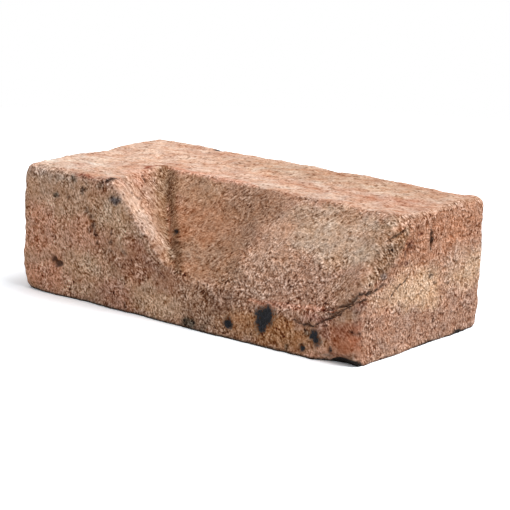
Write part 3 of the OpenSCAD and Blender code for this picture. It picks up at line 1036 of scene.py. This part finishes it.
def tint_fold(tint, points, normals):
    """Lays a painted highlight along the ridge of the fold, and painted shade along the valley beside it."""
    away, along = distance_to_line(points, HIGHLIGHT_BAND)
    widest, narrowest = HIGHLIGHT_REACHES
    reach = widest + (narrowest - widest) * along
    over_ridge = fade(normals[:, X] + OVER_RIDGE_LIFT * normals[:, Z], *OVER_RIDGE_FADE)
    highlight = over_ridge * ease((reach - away) / HIGHLIGHT_EDGE) * fade(along, *HIGHLIGHT_END_FADE)
    highlight *= HIGHLIGHT_TOP_SHARE + (1 - HIGHLIGHT_TOP_SHARE) * fade(along, *HIGHLIGHT_TOP_FADE)
    lay(tint, "ridge_highlight", highlight)
    away, along = distance_to_line(points, FOLD_BAND)
    on_wall = fade(normals[:, X], *WALL_FADE)
    reach = VALLEY_REACH + on_wall * (WALL_REACH + WALL_BULGE * np.sin(np.pi * along))
    shade = ease((reach - away) / (VALLEY_EDGE + WALL_EDGE * on_wall))
    lay(tint, "fold_brown", VALLEY_STRENGTH * (1 - HIGHLIGHT_COVER * highlight) * shade)


def paint_tints(piece, points, normals, shares):
    """Lays the clay colours on the brick: its faces, soft patches, the fold's painted highlight and shade,
    creases, stains, and painted shade in creases and pits.
    """
    soft = wandered(points, "patches")
    fine = wandered(points, "lines")
    tint = np.tile(linear(CLAYS["worn_edge"]), (len(points), 1))
    for face, (direction, clay, grain) in FACES.items():
        lay(tint, clay, shares[face])
    for face, clay, strength, middle, reach in PATCHES:
        away = distance_to_spot(soft, middle, reach)
        lay(tint, clay, strength * shares.get(face, 1) * fade(away, *PATCH_FADE))
    tint_fold(tint, fine, normals)
    for clay, half_width, strength, line in CREASES:
        away, along = distance_to_line(fine, line, normals)
        lay(tint, clay, strength * fade(away / (half_width * taper(along, CREASE_TIP)), *CREASE_FADE))
    for clay, strength, middle, reach in STAINS:
        lay(tint, clay, strength * fade(distance_to_spot(fine, middle, reach), *STAIN_FADE))
    write_colours(piece, "tint", np.column_stack([tint, np.ones(len(tint))]))


def note_grain(piece, points, shares):
    """Notes how sandy each place is, and the ways in which its grain was dragged."""
    sandiness = sum(shares[face] * grain for face, (direction, clay, grain) in FACES.items())
    sandiness += EDGE_GRAIN * np.clip(1 - sum(shares.values()), 0, 1)
    for strength, middle, reach in SMOOTH_PATCHES:
        sandiness -= strength * fade(distance_to_spot(points, middle, reach), *SMOOTH_FADE)
    write_values(piece, "sandiness", np.clip(sandiness, *GRAIN_LIMITS))
    ways = WAY_LEAST + np.column_stack([
        shares["front"] + shares["back"], shares["slope"], shares["end"] + shares["left"],
        shares["top"] + shares["bottom"], shares["wall"],
    ])
    ways /= np.linalg.norm(ways, axis=1)[:, None]
    write_colours(piece, "grain_ways", ways[:, :4])
    write_values(piece, "wall_way", ways[:, 4])


def paint_skin(piece):
    points = places(piece)
    normals = take_facings(piece)
    shares = {face: facing_share(normals, face) for face in FACES}
    paint_tints(piece, points, normals, shares)
    note_grain(piece, points, shares)
    ragged = wandered(points, "spots")
    write_values(piece, "iron", spot_field(ragged, IRON_SPOTS))
    write_values(piece, "hole", spot_field(ragged, BLOW_HOLES))
    # The dark strip along the floor and in the flake's break is painted shade
    dark = np.maximum(foot_shade_height(points), flake_height(points))
    write_values(piece, "painted_foot_shade", ease((dark - points[:, Z]) / FOOT_SHADE_EDGE) * foot_rim(points))


def clay_material():
    clay = bpy.data.materials.new("fired_clay")
    clay.use_nodes = True
    tree = clay.node_tree

    def node(kind, settings, inputs):
        made = tree.nodes.new(kind)
        for name, value in settings.items():
            setattr(made, name, value)
        for name, value in inputs.items():
            if isinstance(value, bpy.types.NodeSocket):
                tree.links.new(value, made.inputs[name])
            else:
                made.inputs[name].default_value = value
        return made

    def sums(operation, *values):
        return node("ShaderNodeMath", {"operation": operation}, dict(enumerate(values))).outputs[0]

    def vectors(operation, inputs):
        return node("ShaderNodeVectorMath", {"operation": operation}, inputs).outputs["Vector"]

    def spread(value, low, high, to_low=0, to_high=1):
        inputs = {"Value": value, "From Min": low, "From Max": high, "To Min": to_low, "To Max": to_high}
        return node("ShaderNodeMapRange", {}, inputs).outputs["Result"]

    def mixed(factor, first, second, blend="MIX"):
        settings = {"data_type": "RGBA", "blend_type": blend}
        return node("ShaderNodeMix", settings, {"Factor": factor, "A": first, "B": second}).outputs["Result"]

    def attribute(name):
        return node("ShaderNodeAttribute", {"attribute_name": name}, {}).outputs

    def paint(name):
        return (*linear(CLAYS[name]), 1)

    here = node("ShaderNodeTexCoord", {}, {}).outputs["Object"]

    def bent(name):
        """Coordinates that a slow noise bends, so that no pattern runs straight."""
        size, layers, reach = BENDS[name]
        inputs = {"Vector": here, "Scale": 1 / (size * MM), "Detail": layers}
        sway = node("ShaderNodeTexNoise", {}, inputs).outputs["Color"]
        return vectors("MULTIPLY_ADD", {0: sway, 1: (reach * MM,) * 3, 2: here})

    swayed = bent("streaks")

    def drawn_out(name):
        """Coordinates in which every pattern is drawn out along a streak."""
        direction, stretch = STREAKS[name]
        turn = Vector(direction).to_track_quat("X", "Z").to_euler()
        inputs = {"Vector": swayed, "Rotation": turn, "Scale": (stretch, 1, 1)}
        return node("ShaderNodeMapping", {"vector_type": "TEXTURE"}, inputs).outputs["Vector"]

    def speckle(coordinates, name):
        size, layers = PATTERNS[name]
        inputs = {"Vector": coordinates, "Scale": 1 / (size * MM), "Detail": layers}
        inputs["Roughness"] = PATTERN_ROUGHNESS
        return node("ShaderNodeTexNoise", {}, inputs).outputs["Fac"]

    def centred(value):
        return sums("SUBTRACT", value, 0.5)

    # Grain: sand, strands along the way that each face was dragged, crumbs, and painted shade in pits
    ways = attribute("grain_ways")
    way_parts = node("ShaderNodeSeparateColor", {}, {"Color": ways["Color"]}).outputs
    way_shares = {
        "uprights": way_parts["Red"], "slopes": way_parts["Green"], "ends": way_parts["Blue"],
        "beds": ways["Alpha"], "wall": attribute("wall_way")["Fac"],
    }
    sandiness = attribute("sandiness")["Fac"]
    crumb = centred(speckle(here, "crumb"))
    fine = sums("MULTIPLY", centred(speckle(here, "sand")), SAND_SHARE)
    fine = sums("MULTIPLY_ADD", centred(speckle(here, "coarse_sand")), COARSE_SHARE, fine)
    for way, share in way_shares.items():
        strand = centred(speckle(drawn_out(way), "strand"))
        fine = sums("MULTIPLY_ADD", sums("MULTIPLY", share, STRAND_SHARE), strand, fine)
    cells = {"Vector": bent("pin_holes"), "Scale": 1 / (PIN_HOLE_SPACING * MM)}
    pin_hole = spread(node("ShaderNodeTexVoronoi", {}, cells).outputs["Distance"], *PIN_HOLE_ENDS)
    pit = sums("MAXIMUM", spread(crumb, *CRUMB_PIT_ENDS, 0, CRUMB_PIT_DEPTH), pin_hole)

    # Colour: the painted tint with warm and cool casts, then steps of tone as the eye sees them
    colour = attribute("tint")["Color"]
    for pattern, ends, warm, cool in CASTS:
        cast = mixed(spread(speckle(here, pattern), *ends), warm, cool)
        colour = mixed(1.0, colour, cast, "MULTIPLY")
    tone = node("ShaderNodeGamma", {}, {"Color": colour, "Gamma": 1 / EYE_GAMMA}).outputs["Color"]
    weakest, strongest = PATCHY_SHARES
    patchy = spread(speckle(here, "patchy"), *PATCHY_ENDS, weakest * GRAIN_LEVEL, strongest * GRAIN_LEVEL)
    step = sums("MULTIPLY_ADD", fine, sums("MULTIPLY", sandiness, patchy), sums("MULTIPLY", pit, -PIT_LEVEL))
    step = sums("MULTIPLY_ADD", crumb, CRUMB_LEVEL, step)
    furrow = centred(speckle(drawn_out("furrow"), "furrow"))
    step = sums("MULTIPLY_ADD", furrow, sums("MULTIPLY", way_shares["wall"], FURROW_LEVEL), step)
    tone = vectors("ADD", {0: tone, 1: step})
    bed_streak = centred(speckle(drawn_out("bed_streak"), "bed_streak"))
    bed_streak = sums("MULTIPLY", bed_streak, way_shares["beds"])
    tone = vectors("ADD", {0: tone, 1: vectors("SCALE", {0: BED_STREAK, "Scale": bed_streak})})
    tone = vectors("MAXIMUM", {0: tone, 1: DARKEST_TONE})
    colour = node("ShaderNodeGamma", {}, {"Color": tone, "Gamma": EYE_GAMMA}).outputs["Color"]

    def mark(name):
        """How far a mark covers each place, with an edge that grain and crumbs break."""
        by_grain, by_crumbs, ends, strength = MARKS[name]
        edge = sums("MULTIPLY_ADD", crumb, by_crumbs, attribute(name)["Fac"])
        return spread(sums("MULTIPLY_ADD", fine, by_grain, edge), *ends, 0, strength)

    # Marks: painted shade in blow holes, iron spots, painted shade in cracks and painted shade along the
    # floor
    colour = mixed(mark("hole"), colour, paint("pit_shade"))
    iron = mark("iron")
    colour = mixed(iron, colour, mixed(spread(fine, *SLAG_ENDS), paint("iron_black"), paint("iron_grey")))
    colour = mixed(mark("crack"), colour, paint("crack_shade"))
    colour = mixed(attribute("painted_foot_shade")["Fac"], colour, paint("foot_shade_paint"))

    height = sums("MULTIPLY", sums("MULTIPLY_ADD", crumb, CRUMB_RELIEF, fine), sandiness)
    bump = node("ShaderNodeBump", {}, {"Strength": 1.0, "Distance": GRAIN_RELIEF, "Height": height})
    shader = tree.nodes["Principled BSDF"]
    tree.links.new(colour, shader.inputs["Base Color"])
    tree.links.new(bump.outputs["Normal"], shader.inputs["Normal"])
    tree.links.new(spread(iron, 0, 1, CLAY_ROUGHNESS, IRON_ROUGHNESS), shader.inputs["Roughness"])
    shader.inputs["Specular IOR Level"].default_value = CLAY_SPECULAR
    return clay


add_camera()
add_floor()
add_sky()
add_key_light()
skin = make_skin()
wear_edges(skin)
swell_faces(skin)
shape_foot(skin)
keep_facings(skin)
write_values(skin, "resting", fade(places(skin)[:, Z], *RESTING_FADE))
add_relief(skin, "slow_lumps")
add_relief(skin, "waves")
add_relief(skin, "crumbs", weigh_crumbs(skin))
carve_cracks(skin)
sink_pits(skin)
settle(skin)
paint_skin(skin)
skin.data.materials.clear()
skin.data.materials.append(clay_material())
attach(skin, "root")
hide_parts("brick")

bpy.context.scene.view_settings.view_transform = "Standard"
